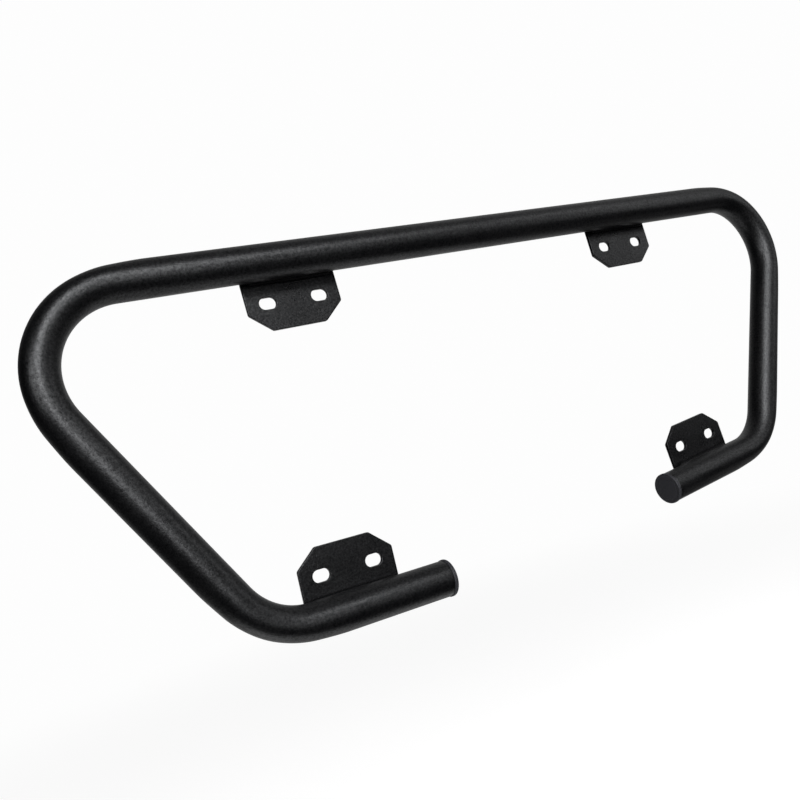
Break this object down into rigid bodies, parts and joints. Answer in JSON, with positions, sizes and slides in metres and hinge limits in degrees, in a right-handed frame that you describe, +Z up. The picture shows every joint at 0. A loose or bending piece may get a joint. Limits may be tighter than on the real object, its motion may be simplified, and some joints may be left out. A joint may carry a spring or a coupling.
{
  "type": "motorcycle crash bar",
  "caption": "Bent steel tube in an open trapezoid that guards a motorcycle's sides, with slotted mounting plates welded behind it and plugs in its ends.",
  "frame": {"origin": "on the mounting plane, which is the plates' rear faces, midway between the two upper plates and level with their slots", "axes": "+X along the top bar to the right, +Y to the rear, towards the machine, +Z up as mounted"},
  "size_m": [0.705, 0.0289, 0.2704],
  "materials": {
    "black_coat": "fine-textured satin black powder coat on steel",
    "black_plastic": "moulded matt black plastic"
  },
  "bodies": {
    "root": {"main_tube": "black_coat", "plate_top_left": "black_coat", "plate_top_right": "black_coat", "plate_bottom_left": "black_coat", "plate_bottom_right": "black_coat", "weld_top_left_front": "black_coat", "weld_top_left_rear": "black_coat", "weld_top_right_front": "black_coat", "weld_top_right_rear": "black_coat", "weld_bottom_left_front": "black_coat", "weld_bottom_left_rear": "black_coat", "weld_bottom_right_front": "black_coat", "weld_bottom_right_rear": "black_coat", "end_plug_left": "black_plastic", "end_plug_right": "black_plastic"}
  },
  "joints": []
}
